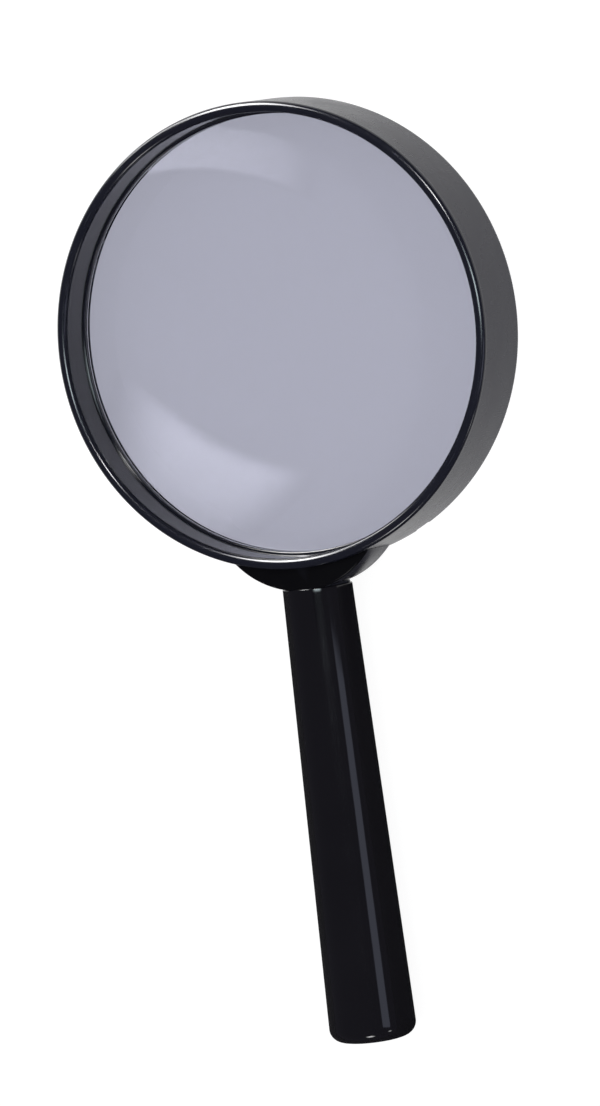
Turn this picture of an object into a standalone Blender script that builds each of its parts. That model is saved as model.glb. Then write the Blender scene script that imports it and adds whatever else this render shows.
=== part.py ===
"""A hand magnifier lying on its back: rim, snap ring, lens, neck, threaded stud, insert, handle and end plug.

X runs across the lens, +Y from the handle's end to the far side of the rim, +Z out of the lens's front.
The origin is under the middle of the whole length, on the surface that the magnifier lies on.
"""

import math

import bmesh
import bpy

MM = 0.001

# Clearances
GAP = 0.3 * MM  # between any two pieces that touch or slide

# Lens: a biconvex disc
LENS_RADIUS = 45.0 * MM
LENS_EDGE = 1.8 * MM  # thickness at the rim
LENS_SAG = 5.2 * MM  # how far each face bulges

# Rim that holds the lens
RIM_WALL = 2.6 * MM  # pocket wall to outer wall
RIM_FLARE = 0.35 * MM  # how much the inner wall opens towards the front lip
REAR_FLARE = 1.2 * MM  # how much it opens behind the ledge, to clear the view through the lens
FRONT_GUARD = 4.2 * MM  # the front lip stands this far above the lens
REAR_GUARD = 1.2 * MM
REAR_EDGE_ROUND = 0.5 * MM
LEDGE_OVERLAP = 0.6 * MM  # how far the rear ledge reaches in over the lens
LEDGE_THICKNESS = 1.0 * MM
GROOVE_DEPTH = 0.5 * MM  # the snap ring's groove in the inner wall
NOTCH_ANGLE = -63.0  # degrees from +X: the slot in the rear edge for a prying tool
NOTCH_WIDTH = 3.6 * MM
NOTCH_DEPTH = 0.8 * MM
NOTCH_HEIGHT = 1.2 * MM

# Snap ring in front of the lens
SNAP_OVERLAP = 0.4 * MM
SNAP_THICKNESS = 1.0 * MM
SNAP_ROUND = 0.35 * MM

# Crescent neck under the rim
NECK_DROP = 4.15 * MM  # from the rim's outer wall to the handle's seat
NECK_RADIUS = 19.5 * MM
NECK_FRONT_RECESS = 2.8 * MM
NECK_REAR_RECESS = 0.4 * MM
SEAT_SINK = 0.4 * MM  # how far the seat is sunk into the crescent's lowest point
COLLAR_HEIGHT = 1.6 * MM

# Stud that stands out of the neck
STUD_RADIUS = 2.85 * MM
STUD_REACH = 9.5 * MM  # below the seat
STUD_CHAMFER = 0.6 * MM
STUD_HEAD_OVERHANG = 1.15 * MM
STUD_HEAD_HEIGHT = 1.4 * MM

# Threaded insert in the handle's top
INSERT_WALL = 1.15 * MM
INSERT_LENGTH = 12.0 * MM
INSERT_CHAMFER = 0.4 * MM

# Handle
HANDLE_LENGTH = 94.0 * MM
HANDLE_TOP_RADIUS = 7.2 * MM
HANDLE_END_RADIUS = 9.0 * MM
HANDLE_TOP_ROUND = 0.4 * MM
HANDLE_END_ROUND = 2.8 * MM
HANDLE_END_FLAT = 0.6 * MM  # width of the flat ring round the plug
HANDLE_SETBACK = 0.9 * MM  # the handle's axis is this far behind the middle of the rim's depth
HANDLE_TOP_WALL = 2.3 * MM

# End plug
PLUG_THICKNESS = 2.0 * MM
PLUG_LIP = 0.4 * MM  # how much the plug's seat is wider than the core
PLUG_SPIGOT = 4.0 * MM

# Worked out from the sizes above
POCKET_RADIUS = LENS_RADIUS + GAP
LIP_RADIUS = POCKET_RADIUS + RIM_FLARE
RIM_RADIUS = POCKET_RADIUS + RIM_WALL
LENS_FRONT = FRONT_GUARD + LENS_SAG  # depth of the lens's edge below the front lip
LENS_REAR = LENS_FRONT + LENS_EDGE
RIM_DEPTH = LENS_REAR + LENS_SAG + REAR_GUARD
LENS_SPHERE = (LENS_RADIUS**2 + LENS_SAG**2) / (2 * LENS_SAG)
AXIS_HEIGHT = max(HANDLE_END_RADIUS, RIM_DEPTH / 2 - HANDLE_SETBACK)
FRONT_OFFSET = RIM_DEPTH / 2 + HANDLE_SETBACK  # from the handle's axis up to the front lip
FRONT_HEIGHT = AXIS_HEIGHT + FRONT_OFFSET
NECK_REACH = RIM_RADIUS + NECK_DROP  # from the lens's axis to the handle's seat
WHOLE_LENGTH = RIM_RADIUS + NECK_REACH + GAP + HANDLE_LENGTH
RIM_Y = WHOLE_LENGTH / 2 - RIM_RADIUS
INSERT_BORE = STUD_RADIUS + GAP
INSERT_RADIUS = INSERT_BORE + INSERT_WALL
STUD_HEAD_RADIUS = STUD_RADIUS + STUD_HEAD_OVERHANG
PLUG_SEAT_RADIUS = HANDLE_END_RADIUS - HANDLE_END_ROUND - HANDLE_END_FLAT
CORE_END_RADIUS = PLUG_SEAT_RADIUS - PLUG_LIP
CORE_TOP_RADIUS = HANDLE_TOP_RADIUS - HANDLE_TOP_WALL

RIM_STEPS = 72
TURN_STEPS = 40
FACE_STEPS = 6  # rings of facets on each face of the lens
MERGE = 1e-6


def clear_scene():
    for obj in list(bpy.data.objects):
        bpy.data.objects.remove(obj, do_unlink=True)


def material(name, color, roughness, metallic=0.0, transmission=0.0):
    made = bpy.data.materials.new(name)
    made.use_nodes = True
    shader = made.node_tree.nodes["Principled BSDF"]
    shader.inputs["Base Color"].default_value = (*color, 1.0)
    shader.inputs["Roughness"].default_value = roughness
    shader.inputs["Metallic"].default_value = metallic
    shader.inputs["Transmission Weight"].default_value = transmission
    return made


def empty(name, location, rotation=(0.0, 0.0, 0.0)):
    made = bpy.data.objects.new(name, None)
    made.location = location
    made.rotation_euler = rotation
    bpy.context.scene.collection.objects.link(made)
    return made


def add_object(name, shape, parent, finish=None):
    """Turns a finished bmesh into an object on its parent."""
    bmesh.ops.remove_doubles(shape, verts=shape.verts, dist=MERGE)
    bmesh.ops.recalc_face_normals(shape, faces=shape.faces)
    mesh = bpy.data.meshes.new(name)
    shape.to_mesh(mesh)
    shape.free()
    mesh.shade_smooth()
    mesh.set_sharp_from_angle(angle=math.radians(30))
    obj = bpy.data.objects.new(name, mesh)
    obj.parent = parent
    if finish:
        mesh.materials.append(finish)
    else:  # a cutter or a piece to be joined
        obj.hide_render = True
        obj.display_type = "WIRE"
    bpy.context.scene.collection.objects.link(obj)
    return obj


def arc(centre, radius, start, end, steps):
    """Points on a circle, from one angle in degrees to another."""
    for step in range(steps + 1):
        angle = math.radians(start + (end - start) * step / steps)
        yield centre[0] + radius * math.cos(angle), centre[1] + radius * math.sin(angle)


def turned(name, outline, parent, finish=None, steps=TURN_STEPS):
    """A body of revolution about its own Z. An outline starts and ends on the axis, or it is a closed loop."""
    shape = bmesh.new()
    points = [shape.verts.new((radius, 0.0, z)) for radius, z in outline]
    ends = points[1:] if outline[0][0] == 0.0 else points[1:] + points[:1]
    edges = [shape.edges.new(pair) for pair in zip(points, ends)]
    geometry = points + edges
    bmesh.ops.spin(shape, geom=geometry, axis=(0, 0, 1), angle=math.tau, steps=steps, use_merge=True)
    return add_object(name, shape, parent, finish)


def combine(obj, other, operation):
    modifier = obj.modifiers.new(other.name, "BOOLEAN")
    modifier.operation = operation
    modifier.object = other


def lens_bulge(radius):
    """How far the lens's face stands above the plane of its edge, at this distance from its axis."""
    return math.sqrt(LENS_SPHERE**2 - radius**2) - (LENS_SPHERE - LENS_SAG)


def snap_place():
    """Inner radius, top and bottom of the snap ring, as depths below the front lip."""
    inner = LENS_RADIUS - SNAP_OVERLAP
    bottom = LENS_FRONT - lens_bulge(inner) - GAP
    return inner, bottom - SNAP_THICKNESS, bottom


def rim(parent, finish):
    lip = (RIM_RADIUS - LIP_RADIUS) / 2
    ledge = LENS_RADIUS - LEDGE_OVERLAP
    ledge_top = LENS_REAR + lens_bulge(ledge) + GAP
    ledge_bottom = ledge_top + LEDGE_THICKNESS
    _, snap_top, snap_bottom = snap_place()
    outline = [
        *arc((RIM_RADIUS - lip, -lip), lip, 0, 180, 8),
        (POCKET_RADIUS, GAP - snap_top),
        (POCKET_RADIUS + GROOVE_DEPTH, GAP - snap_top),
        (POCKET_RADIUS + GROOVE_DEPTH, -snap_bottom - GAP),
        (POCKET_RADIUS, -snap_bottom - GAP),
        (POCKET_RADIUS, -ledge_top),
        (ledge, -ledge_top),
        (ledge, -ledge_bottom),
        (POCKET_RADIUS, -ledge_bottom),
        *arc((POCKET_RADIUS + REAR_FLARE + REAR_EDGE_ROUND, REAR_EDGE_ROUND - RIM_DEPTH), REAR_EDGE_ROUND, 180, 270, 2),
        *arc((RIM_RADIUS - REAR_EDGE_ROUND, REAR_EDGE_ROUND - RIM_DEPTH), REAR_EDGE_ROUND, 270, 360, 2),
    ]
    ring = turned("frame_ring", outline, parent, finish, RIM_STEPS)
    combine(ring, notch_cutter(parent), "DIFFERENCE")


def notch_cutter(parent):
    shape = bmesh.new()
    bmesh.ops.create_cube(shape, size=1.0)
    bmesh.ops.scale(shape, vec=(2 * NOTCH_DEPTH, NOTCH_WIDTH, 2 * NOTCH_HEIGHT), verts=shape.verts)
    cutter = add_object("notch_cutter", shape, parent)
    angle = math.radians(NOTCH_ANGLE)
    cutter.location = (RIM_RADIUS * math.cos(angle), RIM_RADIUS * math.sin(angle), -RIM_DEPTH)
    cutter.rotation_euler = (0.0, 0.0, angle)
    return cutter


def snap_ring(parent, finish):
    inner, top, bottom = snap_place()
    outer = POCKET_RADIUS + GROOVE_DEPTH - GAP
    outline = [
        (outer, -bottom),
        (outer, -top),
        *arc((inner + SNAP_ROUND, -top - SNAP_ROUND), SNAP_ROUND, 90, 180, 3),
        (inner, -bottom),
    ]
    turned("retaining_ring", outline, parent, finish, RIM_STEPS)


def lens(parent, finish):
    half_angle = math.degrees(math.asin(LENS_RADIUS / LENS_SPHERE))
    front = LENS_SPHERE + FRONT_GUARD
    rear = LENS_SPHERE - FRONT_GUARD - 2 * LENS_SAG - LENS_EDGE
    outline = [
        *arc((0.0, -front), LENS_SPHERE, 90, 90 - half_angle, FACE_STEPS),
        *arc((0.0, rear), LENS_SPHERE, half_angle - 90, -90, FACE_STEPS),
    ]
    outline[0] = (0.0, outline[0][1])
    outline[-1] = (0.0, outline[-1][1])
    turned("lens", outline, parent, finish, RIM_STEPS)


def neck(parent, finish):
    """The crescent between the rim's wall and an arc under it, with a sunk round seat for the handle."""
    shape = bmesh.new()
    front = FRONT_OFFSET - NECK_FRONT_RECESS
    depth = RIM_DEPTH - NECK_FRONT_RECESS - NECK_REAR_RECESS
    face = shape.faces.new([shape.verts.new((x, front, z)) for x, z in crescent()])
    moved = bmesh.ops.extrude_face_region(shape, geom=[face])["geom"]
    bmesh.ops.translate(
        shape, vec=(0.0, -depth, 0.0), verts=[item for item in moved if isinstance(item, bmesh.types.BMVert)]
    )
    saddle = add_object("neck_saddle", shape, parent, finish)
    combine(saddle, collar(parent), "UNION")
    combine(saddle, seat_cutter(parent), "DIFFERENCE")
    combine(saddle, head_pocket(parent), "DIFFERENCE")


def crescent():
    """The crescent's outline as (x, z): the arc under it, then the hollow that follows the rim's wall."""
    hollow = RIM_RADIUS + GAP
    under_z = SEAT_SINK - NECK_RADIUS
    tip_z = (hollow**2 - NECK_RADIUS**2 - NECK_REACH**2 + under_z**2) / (2 * (under_z + NECK_REACH))
    tip_x = math.sqrt(NECK_RADIUS**2 - (tip_z - under_z) ** 2)
    under_tip = math.degrees(math.atan2(tip_z - under_z, tip_x))
    hollow_tip = math.degrees(math.atan2(tip_z + NECK_REACH, tip_x))
    under = list(arc((0.0, under_z), NECK_RADIUS, under_tip, 180 - under_tip, 20))
    above = list(arc((0.0, -NECK_REACH), hollow, 180 - hollow_tip, hollow_tip, 12))
    return under + above[1:-1]


def collar(parent):
    """Fills the space between the arc and the seat. It starts too long, and the seat's cut trims it."""
    radius = HANDLE_TOP_RADIUS - HANDLE_TOP_ROUND
    outline = [(0.0, SEAT_SINK), (radius, SEAT_SINK), (radius, -COLLAR_HEIGHT), (0.0, -COLLAR_HEIGHT)]
    return turned("neck_collar", outline, parent)


def seat_cutter(parent):
    """Sinks a flat seat a little wider than the handle's top."""
    radius = HANDLE_TOP_RADIUS + GAP
    outline = [(0.0, 2 * SEAT_SINK), (radius, 2 * SEAT_SINK), (radius, 0.0), (0.0, 0.0)]
    return turned("seat_cutter", outline, parent)


def head_pocket(parent):
    """A stepped hole: the stud's shank below, its head above, open towards the rim."""
    floor = GAP - stud_head_top() - STUD_HEAD_HEIGHT
    wide = STUD_HEAD_RADIUS + GAP
    narrow = STUD_RADIUS + GAP
    outline = [
        (0.0, NECK_DROP),
        (narrow, NECK_DROP),
        (narrow, -floor),
        (wide, -floor),
        (wide, -2 * NECK_DROP),
        (0.0, -2 * NECK_DROP),
    ]
    return turned("head_pocket", outline, parent)


def stud_head_top():
    """Height of the head's top above the handle's seat."""
    return NECK_DROP - 2 * GAP


def stud(parent, finish):
    top = stud_head_top()
    outline = [
        (0.0, STUD_REACH),
        (STUD_RADIUS - STUD_CHAMFER, STUD_REACH),
        (STUD_RADIUS, STUD_REACH - STUD_CHAMFER),
        (STUD_RADIUS, STUD_HEAD_HEIGHT - top),
        (STUD_HEAD_RADIUS, STUD_HEAD_HEIGHT - top),
        (STUD_HEAD_RADIUS, -top),
        (0.0, -top),
    ]
    turned("threaded_stud", outline, parent, finish)


def insert(parent, finish):
    end = GAP + INSERT_LENGTH
    outline = [
        (INSERT_BORE + INSERT_CHAMFER, GAP),
        (INSERT_RADIUS, GAP),
        (INSERT_RADIUS, end),
        (INSERT_BORE, end),
        (INSERT_BORE, GAP + INSERT_CHAMFER),
    ]
    turned("handle_insert", outline, parent, finish)


def handle_places():
    """Distances below the neck's seat: the handle's top and end, the socket's floor and the plug's seat."""
    top = GAP
    end = top + HANDLE_LENGTH
    return top, end, top + INSERT_LENGTH + GAP, end - PLUG_THICKNESS - GAP


def core_radius(z):
    _, _, socket, seat = handle_places()
    return CORE_TOP_RADIUS + (CORE_END_RADIUS - CORE_TOP_RADIUS) * (z - socket) / (seat - socket)


def handle(parent, finish):
    top, end, socket, seat = handle_places()
    outline = [
        (INSERT_RADIUS + GAP, top),
        *arc((HANDLE_TOP_RADIUS - HANDLE_TOP_ROUND, top + HANDLE_TOP_ROUND), HANDLE_TOP_ROUND, -90, 0, 3),
        *arc((HANDLE_END_RADIUS - HANDLE_END_ROUND, end - HANDLE_END_ROUND), HANDLE_END_ROUND, 0, 90, 6),
        (PLUG_SEAT_RADIUS, end),
        (PLUG_SEAT_RADIUS, seat),
        (CORE_END_RADIUS, seat),
        (CORE_TOP_RADIUS, socket),
        (INSERT_RADIUS + GAP, socket),
    ]
    turned("handle_grip", outline, parent, finish, 48)


def plug(parent, finish):
    _, end, _, _ = handle_places()
    shoulder = end - PLUG_THICKNESS
    tip = shoulder - PLUG_SPIGOT
    spigot = core_radius(tip) - GAP
    wide = PLUG_SEAT_RADIUS - GAP
    outline = [(0.0, end), (wide, end), (wide, shoulder), (spigot, shoulder), (spigot, tip), (0.0, tip)]
    turned("handle_end_plug", outline, parent, finish)


def main():
    clear_scene()
    black = material("black_plastic", (0.012, 0.013, 0.016), 0.18)
    satin = material("satin_black_plastic", (0.02, 0.021, 0.024), 0.38)
    glass = material("lens_glass", (0.86, 0.86, 0.93), 0.02, transmission=1.0)
    steel = material("plated_steel", (0.62, 0.62, 0.64), 0.25, metallic=1.0)
    brass = material("insert_brass", (0.72, 0.53, 0.25), 0.3, metallic=1.0)

    lens_axis = empty("lens_axis", (0.0, RIM_Y, FRONT_HEIGHT))
    handle_axis = empty("handle_axis", (0.0, RIM_Y - NECK_REACH, AXIS_HEIGHT), (math.pi / 2, 0.0, 0.0))

    rim(lens_axis, satin)
    snap_ring(lens_axis, black)
    lens(lens_axis, glass)
    neck(handle_axis, satin)
    stud(handle_axis, steel)
    insert(handle_axis, brass)
    handle(handle_axis, black)
    plug(handle_axis, black)


main()
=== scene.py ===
import math

import bmesh
import bpy
from mathutils import Matrix, Vector


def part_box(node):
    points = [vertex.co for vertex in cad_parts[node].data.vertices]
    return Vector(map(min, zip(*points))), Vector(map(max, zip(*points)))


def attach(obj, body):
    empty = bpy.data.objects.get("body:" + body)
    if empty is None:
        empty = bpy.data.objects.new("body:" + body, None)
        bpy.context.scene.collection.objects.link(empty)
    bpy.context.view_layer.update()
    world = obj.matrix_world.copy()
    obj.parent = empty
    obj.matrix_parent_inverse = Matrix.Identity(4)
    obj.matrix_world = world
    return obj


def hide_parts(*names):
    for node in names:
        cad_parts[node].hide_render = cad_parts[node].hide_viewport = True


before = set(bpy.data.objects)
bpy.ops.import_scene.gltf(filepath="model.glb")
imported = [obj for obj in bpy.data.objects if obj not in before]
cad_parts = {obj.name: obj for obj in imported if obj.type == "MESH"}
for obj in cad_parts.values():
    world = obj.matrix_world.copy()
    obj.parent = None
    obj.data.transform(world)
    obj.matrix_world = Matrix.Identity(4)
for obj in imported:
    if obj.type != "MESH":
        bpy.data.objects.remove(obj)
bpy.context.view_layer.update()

mm = 0.001
clearance = 0.3 * mm  # what the model keeps between two pieces that touch
sharpAngle = 32  # degrees; a fold sharper than this shows as an edge

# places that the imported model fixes
rimLow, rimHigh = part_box("frame_ring")
gripLow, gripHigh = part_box("handle_grip")
lensLow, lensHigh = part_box("lens")
snapLow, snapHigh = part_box("retaining_ring")
studLow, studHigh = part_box("threaded_stud")
insertLow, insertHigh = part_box("handle_insert")
neckLow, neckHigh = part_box("neck_saddle")

rimRadius = (rimHigh.x - rimLow.x) / 2
rimDepth = rimHigh.z - rimLow.z
rimPlace = Matrix.Translation(((rimLow.x + rimHigh.x) / 2, (rimLow.y + rimHigh.y) / 2, rimHigh.z))
seatY = gripHigh.y + clearance
handleTurn = Matrix.Rotation(math.pi / 2, 4, "X")
handlePlace = Matrix.Translation((0, seatY, (gripLow.z + gripHigh.z) / 2)) @ handleTurn


def arcPoints(centre, radius, start, end, steps):
    angles = [math.radians(start + (end - start) * step / steps) for step in range(steps + 1)]
    return [(centre[0] + radius * math.cos(a), centre[1] + radius * math.sin(a)) for a in angles]


def skinRings(shape, rings, closed, slots):
    # joins each ring of points to the next; a ring of one point is a tip, and each band has its own finish
    for number in range(len(rings) if closed else len(rings) - 1):
        first, second = rings[number], rings[(number + 1) % len(rings)]
        for step in range(max(len(first), len(second))):
            corners = []
            for corner in (first[step % len(first)], first[(step + 1) % len(first)],
                           second[(step + 1) % len(second)], second[step % len(second)]):
                if corner not in corners:
                    corners.append(corner)
            shape.faces.new(corners).material_index = slots[number]


def turnShape(outline, steps, radiusAt=None, slots=None):
    # turns (radius, height) points about Z; an outline that leaves the axis open is a closed loop
    shape = bmesh.new()
    rings = []
    for radius, height in outline:
        ring = []
        for step in range(steps if radius > 0 else 1):
            angle = math.tau * step / steps
            reach = radiusAt(angle, radius, height) if radiusAt and radius > 0 else radius
            ring.append(shape.verts.new((reach * math.cos(angle), reach * math.sin(angle), height)))
        rings.append(ring)
    closed = outline[0][0] > 0
    skinRings(shape, rings, closed, slots or [0] * len(rings))
    return shape


def meshFrom(name, shape, place, sharpAngle=sharpAngle):
    bmesh.ops.recalc_face_normals(shape, faces=shape.faces)
    shape.transform(place)
    mesh = bpy.data.meshes.new(name)
    shape.to_mesh(mesh)
    shape.free()
    mesh.shade_smooth()
    mesh.set_sharp_from_angle(angle=math.radians(sharpAngle))
    return mesh


def addPiece(name, mesh, finishes, body, node=None):
    piece = bpy.data.objects.new(name, mesh)
    bpy.context.scene.collection.objects.link(piece)
    for finish in finishes:
        mesh.materials.append(finish)
    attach(piece, body)
    if node:
        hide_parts(node)
    return piece


def cutAway(piece, shape, place, operation="DIFFERENCE"):
    # one Boolean step, made real at once so that no cutter stays
    tool = bpy.data.objects.new("tool", meshFrom("tool", shape, place))
    bpy.context.scene.collection.objects.link(tool)
    step = piece.modifiers.new("cut", "BOOLEAN")
    step.operation = operation
    step.object = tool
    graph = bpy.context.evaluated_depsgraph_get()
    made = bpy.data.meshes.new_from_object(piece.evaluated_get(graph))
    old = piece.data
    piece.modifiers.remove(step)
    piece.data = made
    bpy.data.objects.remove(tool, do_unlink=True)
    bpy.data.meshes.remove(old)
    made.shade_smooth()
    made.set_sharp_from_angle(angle=math.radians(sharpAngle))


def boxShape(size):
    shape = bmesh.new()
    bmesh.ops.create_cube(shape, size=1.0)
    bmesh.ops.scale(shape, vec=size, verts=shape.verts)
    return shape


def addNode(tree, kind, inputs=(), **settings):
    node = tree.nodes.new(kind)
    for key, value in settings.items():
        setattr(node, key, value)
    for key, value in dict(inputs).items():
        if isinstance(value, bpy.types.NodeSocket):
            tree.links.new(value, node.inputs[key])
        else:
            node.inputs[key].default_value = value
    return node


def startFinish(name, sockets):
    finish = bpy.data.materials.new(name)
    finish.use_nodes = True
    shader = finish.node_tree.nodes["Principled BSDF"]
    for key, value in sockets.items():
        shader.inputs[key].default_value = value
    place = addNode(finish.node_tree, "ShaderNodeTexCoord")
    return finish, finish.node_tree, shader, place.outputs["Object"]


def speckle(tree, place, size, detail=2.0, stretch=(1, 1, 1)):
    spread = addNode(tree, "ShaderNodeMapping", {"Vector": place, "Scale": stretch})
    return addNode(tree, "ShaderNodeTexNoise", {
        "Vector": spread.outputs["Vector"], "Scale": 1 / size, "Detail": detail}).outputs["Fac"]


def swing(tree, value, fromRange, toRange):
    return addNode(tree, "ShaderNodeMapRange", {
        "Value": value, "From Min": fromRange[0], "From Max": fromRange[1],
        "To Min": toRange[0], "To Max": toRange[1]}).outputs["Result"]


def blackPlastic(name, look):
    # moulded plastic: an even colour that clouds a little, a fine grain, faint hairlines and worn edges
    finish, tree, shader, place = startFinish(name, {"IOR": look["ior"]})
    cloud = speckle(tree, place, look["cloudSize"], 3.0)
    hairlines = swing(tree, speckle(tree, place, look["hairlineSize"], 1.0, look["hairlineStretch"]),
                      (0.66, 0.72), (0.0, look["hairlineRoughness"]))
    sheen = swing(tree, cloud, (0.3, 0.7), look["roughness"])
    rough = addNode(tree, "ShaderNodeMath", {0: sheen, 1: hairlines}, operation="ADD", use_clamp=True)
    tree.links.new(rough.outputs[0], shader.inputs["Roughness"])
    edges = swing(tree, addNode(tree, "ShaderNodeNewGeometry").outputs["Pointiness"],
                  (0.53, 0.62), (0.0, 1.0))
    shade = addNode(tree, "ShaderNodeMix", {
        "Factor": cloud, 6: (*look["dark"], 1), 7: (*look["light"], 1)}, data_type="RGBA")
    worn = addNode(tree, "ShaderNodeMix", {
        "Factor": edges, 6: shade.outputs[2], 7: (*look["worn"], 1)}, data_type="RGBA")
    tree.links.new(worn.outputs[2], shader.inputs["Base Color"])
    ripple = addNode(tree, "ShaderNodeBump", {
        "Height": speckle(tree, place, look["rippleSize"], 0.0), "Strength": 1.0,
        "Distance": look["rippleDepth"]})
    grain = addNode(tree, "ShaderNodeBump", {
        "Height": speckle(tree, place, look["grainSize"], 2.0), "Strength": 1.0,
        "Distance": look["grainDepth"], "Normal": ripple.outputs["Normal"]})
    tree.links.new(grain.outputs["Normal"], shader.inputs["Normal"])
    return finish


# the lens comes first, because the rim's ledge follows its rear face
lensCut = {
    "steps": 240, "rings": 40, "edgeThickness": 1.8 * mm, "edgeBevel": 0.15 * mm,
    # the glass's grey-blue colour is painted shade: it darkens all that is seen through the lens
    "shadeTint": (0.356, 0.361, 0.430), "ior": 1.49, "smudgeSize": 14 * mm, "smudge": (0.0, 0.012),
}


def lensSphere():
    sag = (lensHigh.z - lensLow.z - lensCut["edgeThickness"]) / 2
    radius = (lensHigh.x - lensLow.x) / 2
    return (radius**2 + sag**2) / (2 * sag)


def lensBack(radius):
    # depth of the lens's rear face below the rim's front
    sphere = lensSphere()
    return rimHigh.z - lensLow.z - sphere + math.sqrt(sphere**2 - radius**2)


rim = {
    "steps": 288,
    "lipWidth": 2.25 * mm,
    "lipInset": 0.3 * mm,  # the outer wall's draft
    "lipCrown": 1.05 * mm,  # how far the lip's top stands above its sides
    "lipStep": 0.06 * mm,
    "pocketRadius": 45.3 * mm,
    "snapGroove": 0.5 * mm,
    "snapPlay": 0.05 * mm,
    "ledgeRadius": 44.75 * mm,
    "ledgeGap": 0.15 * mm,  # from the lens's rear face to the ledge
    "ledgeThickness": 0.3 * mm,
    "rearRound": 0.25 * mm,
    "rearWall": 47.2 * mm,
    "notchAngle": -63.0,  # degrees
    "notchSize": (1.6 * mm, 3.6 * mm, 2.4 * mm),
}
satinWall = {
    "dark": (0.030, 0.030, 0.040), "light": (0.037, 0.037, 0.048), "worn": (0.060, 0.061, 0.070),
    "roughness": (0.24, 0.30), "ior": 1.17,
    "cloudSize": 9 * mm,
    "hairlineSize": 0.3 * mm, "hairlineStretch": (1, 1, 0.06), "hairlineRoughness": 0.05,
    "rippleSize": 6 * mm, "rippleDepth": 0.02 * mm, "grainSize": 0.16 * mm, "grainDepth": 0.003 * mm,
}
polishedBead = {
    "dark": (0.009, 0.010, 0.018), "light": (0.011, 0.012, 0.021), "worn": (0.018, 0.019, 0.028),
    "roughness": (0.13, 0.18), "ior": 1.50,
    "cloudSize": 6 * mm,
    "hairlineSize": 0.2 * mm, "hairlineStretch": (1, 1, 0.1), "hairlineRoughness": 0.06,
    "rippleSize": 9 * mm, "rippleDepth": 0.02 * mm, "grainSize": 0.12 * mm, "grainDepth": 0.0008 * mm,
}
innerWall = {
    **satinWall, "dark": (0.022, 0.023, 0.026), "light": (0.027, 0.028, 0.031),
    "roughness": (0.06, 0.09), "ior": 1.55, "hairlineRoughness": 0.02,
    "rippleSize": 12 * mm, "rippleDepth": 0.01 * mm, "grainDepth": 0.0005 * mm,
}
satinBlack = blackPlastic("satinBlack", satinWall)
polishedBlack = blackPlastic("polishedBlack", polishedBead)
smoothBlack = blackPlastic("smoothBlack", innerWall)


def rimOutline():
    # (radius, height) points round the rim's section, and the finish of each stretch
    half, crown, step = rim["lipWidth"] / 2, rim["lipCrown"], rim["lipStep"]
    centre = rimRadius - rim["lipInset"] - half
    pocket, small, rearWall = rim["pocketRadius"], rim["rearRound"], rim["rearWall"]
    snapTop, snapFloor = rimHigh.z - snapHigh.z - rim["snapPlay"], rimHigh.z - snapLow.z + rim["snapPlay"]
    ledge = lensBack(rim["ledgeRadius"]) + rim["ledgeGap"]
    ledgeFloor = ledge + rim["ledgeThickness"]
    lip = [(centre + half * x, crown * (y - 1)) for x, y in arcPoints((0, 0), 1, 0, 180, 40)]
    inner = [
        (centre - half, -crown - step),
        (centre - half, -crown - 3 * step),
        (pocket, -snapTop),
        (pocket + rim["snapGroove"], -snapTop),
        (pocket + rim["snapGroove"], -snapFloor),
        (pocket, -snapFloor),
        (pocket, -ledge),
        (rim["ledgeRadius"], -ledge),
        (rim["ledgeRadius"], -ledgeFloor),
    ]
    outer = [
        *arcPoints((rearWall + small, small - rimDepth), small, 180, 270, 6),
        *arcPoints((rimRadius - small, small - rimDepth), small, 270, 360, 6),
        (rimRadius, 2 * small - rimDepth),
        (centre + half, -crown - 3 * step),
        (centre + half, -crown - step),
    ]
    return lip + inner + outer, [1] * len(lip) + [2] * len(inner) + [0] * len(outer)


rimLine, rimSlots = rimOutline()
rimShape = turnShape(rimLine, rim["steps"], slots=rimSlots)
ring = addPiece("lens_rim", meshFrom("lens_rim", rimShape, rimPlace),
                [satinBlack, polishedBlack, smoothBlack], "lens_frame", "frame_ring")
notchTurn = Matrix.Rotation(math.radians(rim["notchAngle"]), 4, "Z")
notchPlace = rimPlace @ notchTurn @ Matrix.Translation((rimRadius, 0, -rimDepth))
cutAway(ring, boxShape(rim["notchSize"]), notchPlace)
print("rim made")


snap = {
    "opening": 2.6,  # degrees, as is the next
    "openingAngle": 12.0,
    "steps": 280,
    "width": 0.65 * mm,
    "round": 0.3 * mm,
}
glossBlack = blackPlastic("glossBlack", {
    **polishedBead, "roughness": (0.07, 0.12), "rippleDepth": 0.01 * mm,
})


def snapRing():
    # a sprung ring with a small opening, so that it can be squeezed into its groove
    outer = (snapHigh.x - snapLow.x) / 2
    top, floor = snapHigh.z - rimHigh.z, snapLow.z - rimHigh.z
    inner, corner = outer - snap["width"], snap["round"]
    section = [
        (outer, floor), (outer, top),
        *arcPoints((inner + corner, top - corner), corner, 90, 180, 8),
        *arcPoints((inner + corner / 2, floor + corner / 2), corner / 2, 180, 270, 3),
    ]
    shape = bmesh.new()
    rings = []
    for step in range(snap["steps"] + 1):
        sweep = (360 - snap["opening"]) * step / snap["steps"]
        angle = math.radians(snap["openingAngle"] + snap["opening"] / 2 + sweep)
        rings.append([shape.verts.new((r * math.cos(angle), r * math.sin(angle), z)) for r, z in section])
    skinRings(shape, rings, False, [0] * len(rings))
    shape.faces.new(rings[0])
    shape.faces.new(rings[-1])
    return shape


addPiece("snap_ring", meshFrom("snap_ring", snapRing(), rimPlace), [glossBlack],
         "lens_frame", "retaining_ring")
print("snap ring made")


def glassWithPaintedShade():
    # glass coloured grey-blue as painted shade over what shows through the lens
    finish, tree, shader, place = startFinish("lensGlass", {
        "Base Color": (*lensCut["shadeTint"], 1), "Transmission Weight": 1.0, "IOR": lensCut["ior"]})
    smudge = swing(tree, speckle(tree, place, lensCut["smudgeSize"], 4.0), (0.45, 0.75), lensCut["smudge"])
    tree.links.new(smudge, shader.inputs["Roughness"])
    return finish


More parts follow.
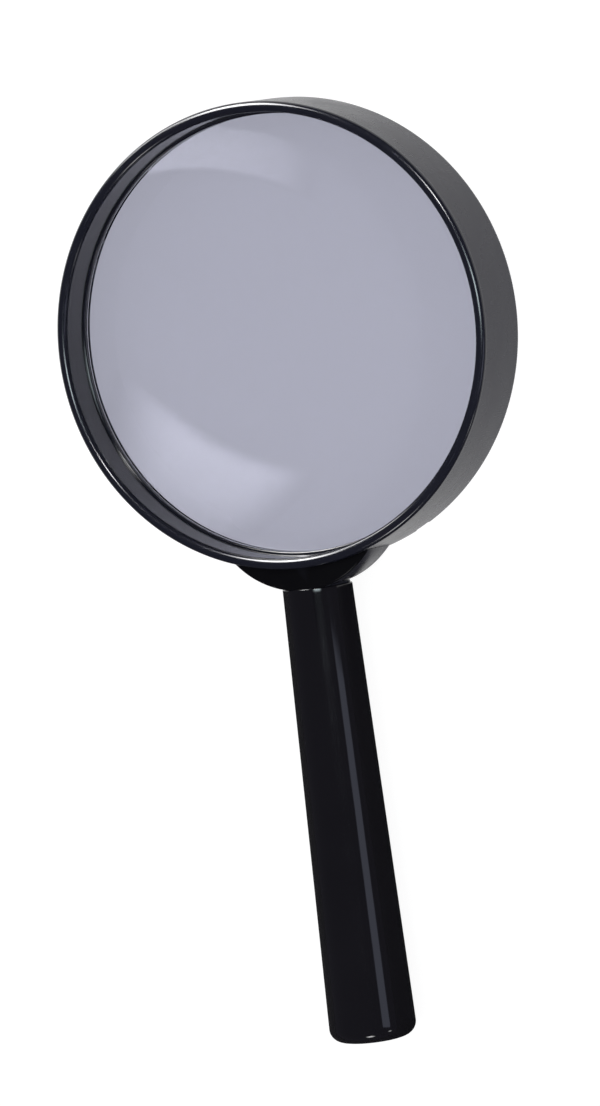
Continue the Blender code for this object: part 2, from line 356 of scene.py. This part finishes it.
def lensOutline():
    # half the section of a lens that bulges alike on both faces
    radius, thickness = (lensHigh.x - lensLow.x) / 2, lensHigh.z - lensLow.z
    sphere = lensSphere()
    bevel = lensCut["edgeBevel"]
    reach = math.degrees(math.asin((radius - bevel) / sphere))
    front = arcPoints((0, thickness / 2 - sphere), sphere, 90, 90 - reach, lensCut["rings"])
    rear = [(r, -z) for r, z in reversed(front)]
    edge = [(radius, lensCut["edgeThickness"] / 2 - bevel), (radius, bevel - lensCut["edgeThickness"] / 2)]
    front[0], rear[-1] = (0, front[0][1]), (0, rear[-1][1])
    return front + edge + rear


lensPlace = rimPlace @ Matrix.Translation((0, 0, (lensLow.z + lensHigh.z) / 2 - rimHigh.z))
lens = addPiece("lens_disc", meshFrom("lens_disc", turnShape(lensOutline(), lensCut["steps"]), lensPlace),
                [glassWithPaintedShade()], "lens_frame", "lens")
# the lens casts no shadow; the painted shade in its glass darkens what shows through it instead
lens.visible_shadow = False
print("lens made")


neck = {
    "arcRadius": 19.5 * mm, "glueGap": 0.05 * mm, "seatSink": 0.4 * mm, "frontRound": 0.45 * mm,
    "rearChamfer": 2.6 * mm, "rearInset": 0.55 * mm, "rearRound": 0.25 * mm,
    "arcSteps": 80, "collarRadius": 6.8 * mm, "collarHeight": 1.6 * mm,
    "seatRadius": 7.5 * mm, "headPocket": 4.3 * mm, "pocketFloor": 1.85 * mm, "shankHole": 3.15 * mm,
    "spare": 2 * mm,  # the least that a cutter runs on past what it cuts
}


def crescentOutline(inset, hollow):
    # the arc under the neck, then back along the hollow that follows the rim's wall, about the handle's seat
    radius = neck["arcRadius"] - inset
    rimCentre = rimPlace.translation.y - seatY
    arcCentre = neck["arcRadius"] - neck["seatSink"]
    tipY = (hollow**2 - radius**2 - rimCentre**2 + arcCentre**2) / (2 * (arcCentre - rimCentre))
    tipX = math.sqrt(radius**2 - (tipY - arcCentre) ** 2)
    underTip = math.degrees(math.atan2(tipY - arcCentre, tipX))
    hollowTip = math.degrees(math.atan2(tipY - rimCentre, tipX))
    under = arcPoints((0, arcCentre), radius, underTip, -180 - underTip, neck["arcSteps"])
    above = arcPoints((0, rimCentre), hollow, -180 - hollowTip, hollowTip, neck["arcSteps"])
    return under + above[1:-1]


def crescentShape():
    front, rear = neckHigh.z, neckLow.z
    small, chamfer = neck["frontRound"], neck["rearChamfer"]
    levels = [(front - small + small * math.sin(math.radians(a)), small - small * math.cos(math.radians(a)))
              for a in (90, 72, 54, 36, 18, 0)]
    rounded = len(levels) - 1
    levels.append((rear + chamfer, 0))
    levels.append((rear + neck["rearRound"], neck["rearInset"]))
    levels.append((rear, neck["rearInset"] + neck["rearRound"]))
    shape = bmesh.new()
    rings = []
    for z, inset in levels:
        hollow = rimRadius + neck["glueGap"] - rim["lipInset"] * (z - rimLow.z) / rimDepth
        rings.append([shape.verts.new((x, seatY + y, z)) for x, y in crescentOutline(inset, hollow)])
    skinRings(shape, rings, False, [0] * rounded + [1] * (len(rings) - rounded))
    shape.faces.new(rings[0])
    shape.faces.new(rings[-1])
    return shape


def roundBar(radius, start, end, steps=128):
    # a plain bar along the handle's axis, from one distance below the seat to another
    return turnShape([(0, start), (radius, start), (radius, end), (0, end)], steps)


neckBlack = blackPlastic("neckBlack", {
    **polishedBead, "dark": (0.003, 0.003, 0.004), "light": (0.005, 0.005, 0.006),
    "roughness": (0.12, 0.18), "ior": 1.22, "rippleDepth": 0.015 * mm,
})
neckSatin = blackPlastic("neckSatin", {**satinWall, "ior": 1.11})
headTop = studHigh.y - seatY  # the stud's head, above the seat
saddle = addPiece("neck_crescent", meshFrom("neck_crescent", crescentShape(), Matrix.Identity(4)),
                  [neckBlack, neckSatin], "lens_frame", "neck_saddle")
collar = roundBar(neck["collarRadius"], -neck["collarHeight"], neck["seatSink"])
cutAway(saddle, collar, handlePlace, "UNION")
cutAway(saddle, roundBar(neck["seatRadius"], 0, neck["spare"]), handlePlace)
cutAway(saddle, roundBar(neck["shankHole"], -1.5 * neck["spare"], 1.5 * neck["spare"]), handlePlace)
cutAway(saddle, roundBar(neck["headPocket"], -4 * neck["spare"], -neck["pocketFloor"]), handlePlace)
print("neck made")


thread = {
    "pitch": 1.0 * mm, "depth": 0.5 * mm, "rowHeight": 0.05 * mm, "steps": 96,
    "fullness": 1.35, "slope": 3.6,  # together they set how wide the crest and the root are
}
stud = {
    "radius": 2.85 * mm, "headRadius": 4.0 * mm, "headHeight": 1.4 * mm, "chamfer": 0.6 * mm,
    "threadStart": 0.5 * mm, "bevel": 0.15 * mm,
}
insert = {
    "bore": 2.97 * mm, "radius": 4.3 * mm, "chamfer": 0.4 * mm, "steps": 144,
    "threadShare": 0.8,  # of the stud's thread depth
    "knurlPitch": 0.75 * mm, "knurlDepth": 0.22 * mm, "knurlCount": 18, "knurlRow": 0.1 * mm,
}
threadedEdge = 40  # degrees, the fold that shows as an edge on a thread


def threadRise(angle, height):
    # 0 in the root and 1 on the crest of a right-handed thread with narrow flats
    phase = (height / thread["pitch"] - angle / math.tau) % 1.0
    return min(1.0, max(0.0, thread["fullness"] - abs(phase - 0.5) * thread["slope"]))


def studRadius(angle, radius, height):
    start = stud["threadStart"]
    if height < start:
        return radius
    fade = min(1.0, (height - start) / thread["pitch"])
    return radius - thread["depth"] * fade * (1 - threadRise(angle, height))


def studShape():
    # a flat head above the seat, then a shank with a real thread
    reach = seatY - studLow.y
    low, small = stud["headHeight"] - headTop, stud["bevel"]
    rows = [low + small + thread["rowHeight"] * row
            for row in range(round((reach - stud["chamfer"] - low - small) / thread["rowHeight"]))]
    outline = [
        (0, -headTop), (stud["headRadius"] - small, -headTop), (stud["headRadius"], small - headTop),
        (stud["headRadius"], low - small), (stud["headRadius"] - small, low), (stud["radius"] + small, low),
        *[(stud["radius"], row) for row in rows],
        (stud["radius"] - stud["chamfer"] * 0.3, reach - stud["chamfer"] * 0.7),
        (stud["radius"] - stud["chamfer"], reach), (0, reach),
    ]
    return turnShape(outline, thread["steps"], studRadius)


def insertRadius(angle, radius, height):
    # the thread inside, and a crossed knurl on the outside
    if radius < insert["bore"] + thread["depth"] * 1.05:
        rise = threadRise(angle + math.pi, height)
        return insert["bore"] + thread["depth"] * insert["threadShare"] * rise
    if radius < insert["radius"]:
        return radius
    around = angle * insert["knurlCount"]
    along = height * math.pi / insert["knurlPitch"]
    crossed = math.sin(around + along) * math.sin(around - along)
    return radius - insert["knurlDepth"] * (0.5 + 0.5 * crossed)


def insertShape():
    top, end = seatY - insertHigh.y, seatY - insertLow.y
    bore, chamfer = insert["bore"] + thread["depth"], insert["chamfer"]
    straight = end - top - 2 * chamfer
    inside = [(bore, end - chamfer - thread["rowHeight"] * row)
              for row in range(round(straight / thread["rowHeight"]))]
    outside = [(insert["radius"], top + chamfer + insert["knurlRow"] * row)
               for row in range(round(straight / insert["knurlRow"]) + 1)]
    outline = [
        (bore + chamfer, top),
        (insert["radius"] - chamfer / 2, top),
        *outside,
        (insert["radius"] - chamfer / 2, end),
        (bore + chamfer, end),
        *inside,
    ]
    return turnShape(outline, insert["steps"], insertRadius)


def cutMetal(name, look):
    # turned metal: fine tool marks along the axis and a little tarnish
    finish, tree, shader, place = startFinish(name, {"Metallic": 1.0})
    tarnish = speckle(tree, place, look["tarnishSize"], 3.0)
    shade = addNode(tree, "ShaderNodeMix", {
        "Factor": tarnish, 6: (*look["bright"], 1), 7: (*look["dull"], 1)}, data_type="RGBA")
    tree.links.new(shade.outputs[2], shader.inputs["Base Color"])
    tree.links.new(swing(tree, tarnish, (0.3, 0.7), look["roughness"]), shader.inputs["Roughness"])
    toolMarks = speckle(tree, place, look["markSize"], 2.0, (0.1, 1, 0.1))
    marks = addNode(tree, "ShaderNodeBump", {
        "Height": toolMarks, "Strength": 1.0, "Distance": look["markDepth"]})
    tree.links.new(marks.outputs["Normal"], shader.inputs["Normal"])
    return finish


turnedSurface = {"tarnishSize": 2 * mm, "markSize": 0.05 * mm, "markDepth": 0.002 * mm}
platedSteel = cutMetal("platedSteel", {
    **turnedSurface, "bright": (0.66, 0.66, 0.68), "dull": (0.45, 0.45, 0.46), "roughness": (0.18, 0.34),
})
rawBrass = cutMetal("rawBrass", {
    **turnedSurface, "bright": (0.80, 0.60, 0.28), "dull": (0.52, 0.36, 0.16), "roughness": (0.22, 0.40),
})
addPiece("stud_screw", meshFrom("stud_screw", studShape(), handlePlace, threadedEdge), [platedSteel],
         "lens_frame", "threaded_stud")
addPiece("brass_insert", meshFrom("brass_insert", insertShape(), handlePlace, threadedEdge), [rawBrass],
         "screw_insert", "handle_insert")
print("stud and insert made")


handle = {
    "steps": 240,
    "seatGap": 0.05 * mm,
    "topRadius": 7.2 * mm,
    "topRound": 0.2 * mm,
    "endRound": 2.8 * mm,
    "endFlat": 0.45 * mm,
    "plugSeat": 5.6 * mm,
    "plugDepth": 2.3 * mm,
    "coreTop": 4.9 * mm,
    "coreEnd": 5.2 * mm,
    "socket": 4.6 * mm,
    "socketDepth": 12.6 * mm,
    "socketChamfer": 0.2 * mm,
}
handleGloss = {
    "dark": (0.0060, 0.0055, 0.0078), "light": (0.0078, 0.0072, 0.0098), "worn": (0.011, 0.011, 0.014),
    "roughness": (0.05, 0.09), "ior": 1.46,
    "cloudSize": 12 * mm,
    "hairlineSize": 0.12 * mm, "hairlineStretch": (1, 0.03, 1), "hairlineRoughness": 0.05,
    "rippleSize": 9 * mm, "rippleDepth": 0.03 * mm, "grainSize": 0.1 * mm, "grainDepth": 0.0003 * mm,
}
glossyGrip = blackPlastic("glossyGrip", handleGloss)


def gripShape():
    end = seatY - gripLow.y
    radius, top = gripHigh.x, handle["seatGap"]
    upper, lower = handle["topRound"], handle["endRound"]
    start, run = top + upper, end - lower - top - upper
    spread = radius - handle["topRadius"]
    flat, plugTop, chamfer = handle["endFlat"], end - handle["plugDepth"], handle["socketChamfer"]
    outline = [
        (handle["socket"], top + chamfer),
        (handle["socket"] + chamfer, top),
        *arcPoints((handle["topRadius"] - upper, start), upper, -90, 0, 8),
        # close rows near both ends keep the worn edges narrow
        *[(handle["topRadius"] + spread * row, start + run * row)
          for row in (0.008, 0.02, 0.25, 0.5, 0.75, 0.98, 0.992)],
        *arcPoints((radius - lower, end - lower), lower, 2, 84, 16),
        *arcPoints((handle["plugSeat"] + flat, end - flat), flat, 90, 180, 5),
        (handle["plugSeat"], plugTop),
        (handle["coreEnd"], plugTop),
        (handle["coreTop"], handle["socketDepth"]),
        (handle["socket"], handle["socketDepth"]),
    ]
    return turnShape(outline, handle["steps"])


addPiece("handle_grip_shell", meshFrom("handle_grip_shell", gripShape(), handlePlace), [glossyGrip],
         "handle", "handle_grip")
print("handle made")


plug = {
    "radius": 5.3 * mm, "shoulder": 2.0 * mm, "dome": 0.35 * mm, "lip": 0.25 * mm,
    "spigot": 4.0 * mm, "spigotPlay": 0.4 * mm, "steps": 160,
}


def plugShape():
    # a shallow dome flush with the handle's end, on a spigot
    end = seatY - gripLow.y
    sphere = (plug["radius"] ** 2 + plug["dome"] ** 2) / (2 * plug["dome"])
    reach = math.degrees(math.asin((plug["radius"] - plug["lip"]) / sphere))
    dome = arcPoints((0, end - sphere), sphere, 90, 90 - reach, 10)
    dome[0] = (0, dome[0][1])
    shoulder = end - plug["shoulder"]
    spigot, spigotEnd = handle["coreEnd"] - plug["spigotPlay"], shoulder - plug["spigot"]
    return turnShape([
        *dome,
        (plug["radius"], dome[-1][1] - plug["lip"]),
        (plug["radius"], shoulder),
        (spigot, shoulder),
        (spigot, spigotEnd + plug["lip"]),
        (spigot - plug["lip"], spigotEnd),
        (0, spigotEnd),
    ], plug["steps"])


addPiece("end_plug_disc", meshFrom("end_plug_disc", plugShape(), handlePlace), [glossyGrip],
         "handle", "handle_end_plug")
print("end plug made")


studio = {
    "floorSize": 8.0,
    "floorPale": (0.22, 0.22, 0.22), "floorDeep": (0.20, 0.20, 0.20), "floorCloud": 0.4,
    "floorRoughness": 0.9, "floorIor": 1.3, "floorGlow": 0.93,
    "cardStart": 0.0, "cardOverhang": 3.8, "cardHeight": 0.1 * mm,
    "fillSize": 2.4, "fillPlace": (0, 0.02, 1.7), "fillPower": 26.0,
    "dimSky": (0.10, 0.10, 0.12), "paleSky": (0.93, 0.93, 0.94),
}


def linkStage(name, mesh, finish):
    thing = bpy.data.objects.new(name, mesh)
    bpy.context.scene.collection.objects.link(thing)
    mesh.materials.append(finish)
    return thing


def makeFloor():
    # a light table: pale, and lit a little from below so that shadows stay faint
    shape = bmesh.new()
    bmesh.ops.create_grid(shape, x_segments=8, y_segments=8, size=studio["floorSize"] / 2)
    finish, tree, shader, place = startFinish("paleFloor", {
        "IOR": studio["floorIor"], "Roughness": studio["floorRoughness"],
        "Emission Color": (1, 1, 1, 1), "Emission Strength": studio["floorGlow"]})
    shade = addNode(tree, "ShaderNodeMix", {
        "Factor": speckle(tree, place, studio["floorCloud"], 2.0),
        6: (*studio["floorPale"], 1), 7: (*studio["floorDeep"], 1)}, data_type="RGBA")
    tree.links.new(shade.outputs[2], shader.inputs["Base Color"])
    linkStage("floor", meshFrom("floor", shape, Matrix.Identity(4)), finish)


def fillLight():
    # lights the floor and the pieces, and shows in no reflection
    light = bpy.data.lights.new("overheadFill", "AREA")
    light.shape = "SQUARE"
    light.size = studio["fillSize"]
    light.energy = studio["fillPower"]
    holder = bpy.data.objects.new("overheadFill", light)
    holder.location = studio["fillPlace"]
    bpy.context.scene.collection.objects.link(holder)
    holder.visible_camera = holder.visible_glossy = holder.visible_transmission = False


def softPanel(name, place, size, glow, colour=(1, 1, 1), edge=(0.2, 0.2), fade=(1.0, 1.0), rise=(1.0, 1.0),
              bend=0.0, throughGlass=False):
    # a glowing sheet with soft edges, which shows in the gloss or through the glass and nowhere else;
    # fade and rise are its glow at the low and the high end of its X and Y
    shape = bmesh.new()
    bmesh.ops.create_grid(shape, x_segments=1, y_segments=1, size=0.5)
    finish = bpy.data.materials.new(name)
    finish.use_nodes = True
    tree = finish.node_tree
    tree.nodes.remove(tree.nodes["Principled BSDF"])
    axes = addNode(tree, "ShaderNodeSeparateXYZ", {
        0: addNode(tree, "ShaderNodeTexCoord").outputs["Object"]})
    across, along = axes.outputs["X"], axes.outputs["Y"]
    if bend:
        squared = addNode(tree, "ShaderNodeMath", {0: across, 1: across}, operation="MULTIPLY")
        along = addNode(tree, "ShaderNodeMath", {0: squared.outputs[0], 1: -bend, 2: along},
                        operation="MULTIPLY_ADD").outputs[0]
    strength = addNode(tree, "ShaderNodeMath", {
        0: swing(tree, across, (-0.5, 0.5), fade),
        1: swing(tree, along, (-0.5, 0.5), rise)}, operation="MULTIPLY").outputs[0]
    for value, soft in zip((across, along), edge):
        away = addNode(tree, "ShaderNodeMath", {0: value}, operation="ABSOLUTE")
        fall = addNode(tree, "ShaderNodeMapRange", {
            "Value": away.outputs[0], "From Min": 0.5 - soft, "From Max": 0.5,
            "To Min": 1.0, "To Max": 0.0}, interpolation_type="SMOOTHSTEP")
        strength = addNode(tree, "ShaderNodeMath", {0: strength, 1: fall.outputs["Result"]},
                           operation="MULTIPLY").outputs[0]
    scaled = addNode(tree, "ShaderNodeMath", {0: strength, 1: glow}, operation="MULTIPLY")
    emission = addNode(tree, "ShaderNodeEmission", {"Color": (*colour, 1), "Strength": scaled.outputs[0]})
    tree.links.new(emission.outputs[0], tree.nodes["Material Output"].inputs["Surface"])
    sheet = linkStage(name, meshFrom(name, shape, Matrix.Identity(4)), finish)
    sheet.matrix_world = place @ Matrix.Diagonal((*size, 1, 1))
    sheet.visible_camera = sheet.visible_shadow = sheet.visible_diffuse = False
    sheet.visible_glossy = not throughGlass
    sheet.visible_transmission = throughGlass


def overhead(across, along, height=1.0, turn=0.0):
    # a level place above the lens, given as slopes from its middle
    return (Matrix.Translation(rimPlace.translation + Vector((across, along, 1)) * height)
            @ Matrix.Rotation(math.radians(turn), 4, "Z"))


def facing(target, direction, distance):
    # a place off to one side of a point, turned towards it
    aim = Vector(direction).normalized()
    return (Matrix.Translation(Vector(target) + aim * distance)
            @ aim.to_track_quat("Z", "Y").to_matrix().to_4x4())


def darkCard():
    # a black sheet over the floor on the handle's side, seen by gloss alone: it keeps the handle's edges dark
    shape = bmesh.new()
    bmesh.ops.create_grid(shape, x_segments=1, y_segments=1, size=0.5)
    finish = startFinish("blackCard", {"Roughness": 1.0, "Base Color": (0.01, 0.01, 0.01, 1)})[0]
    length = gripHigh.y - gripLow.y - studio["cardStart"] + studio["cardOverhang"]
    middle = gripLow.y - studio["cardOverhang"] + length / 2
    card = linkStage("dark_card", meshFrom("dark_card", shape, Matrix.Identity(4)), finish)
    card.matrix_world = (Matrix.Translation((0, middle, studio["cardHeight"]))
                         @ Matrix.Diagonal((studio["floorSize"], length, 1, 1)))
    card.visible_camera = card.visible_shadow = card.visible_diffuse = card.visible_transmission = False


makeFloor()
fillLight()
darkCard()

# two reflectors that show on the lens
softPanel("upperReflector", facing(rimPlace.translation, (-0.22, -0.80, 0.53), 1.0), (0.95, 0.50), 13.0,
          edge=(0.2, 0.12), fade=(0.15, 1.0), throughGlass=True)
softPanel("lowerReflector", overhead(0.12, 0.75, turn=-34), (1.20, 0.90), 15.5, edge=(0.36, 0.12),
          fade=(0.8, 1.0), rise=(1.0, 0.05), bend=-0.45, throughGlass=True)

# highlights on the rim's lip and walls
softPanel("farLeftBand", facing(rimPlace.translation, (-0.70, 0.68, 0.16), 1.0), (0.5, 0.36), 14.0,
          edge=(0.35, 0.3))
softPanel("topPanel", facing(rimPlace.translation, (-0.40, 0.76, 0.50), 1.0), (0.56, 0.78), 34.0,
          edge=(0.35, 0.25))
softPanel("smallSpot", overhead(0.29, 0.425, turn=35), (0.42, 0.18), 50.0, edge=(0.35, 0.4))
softPanel("rightBand", overhead(0.42, 0.06), (0.66, 0.32), 15.0, (0.82, 0.96, 1.0), edge=(0.35, 0.4))

# the stripe along the handle and the two soft spots at its end
gripAim, endAim = (0.006, -0.05, 0.014), (0, -0.095, 0.014)
softPanel("gripStrip", facing(gripAim, (0.87, -0.12, 0.49), 0.5), (0.145, 0.20), 1.30, (0.74, 0.79, 1.0),
          edge=(0.05, 0.12))
softPanel("endSpot", facing(endAim, (0.12, -0.82, 0.56), 0.6), (0.24, 0.18), 16.0, edge=(0.45, 0.45))
softPanel("cornerSpot", facing(endAim, (0.84, -0.47, 0.28), 0.6), (0.14, 0.12), 8.0, edge=(0.45, 0.45))

world = bpy.data.worlds.new("studioSky")
world.use_nodes = True
bpy.context.scene.world = world
sky = world.node_tree  # pale behind the object and through its lens, dim in what its gloss reflects
rays = addNode(sky, "ShaderNodeLightPath").outputs
seen = addNode(sky, "ShaderNodeMath", {0: rays["Is Camera Ray"], 1: rays["Is Transmission Ray"]},
               operation="MAXIMUM")
skyShade = addNode(sky, "ShaderNodeMix", {
    "Factor": seen.outputs[0], 6: (*studio["dimSky"], 1), 7: (*studio["paleSky"], 1)}, data_type="RGBA")
sky.links.new(skyShade.outputs[2], sky.nodes["Background"].inputs["Color"])
bpy.context.scene.view_settings.view_transform = "Standard"

view = {
    "place": (0.42835, 0.075835, 0.96004),
    "turn": (-7.1225, 23.7031, -7.8235),  # degrees
    "lens": 166.1,  # millimetres, as is the next
    "sensor": 36,
}
camera = bpy.data.objects.new("camera", bpy.data.cameras.new("camera"))
camera.location = view["place"]
camera.rotation_euler = [math.radians(a) for a in view["turn"]]
camera.data.lens = view["lens"]
camera.data.sensor_width = view["sensor"]
bpy.context.scene.collection.objects.link(camera)
bpy.context.scene.camera = camera
print("studio made")
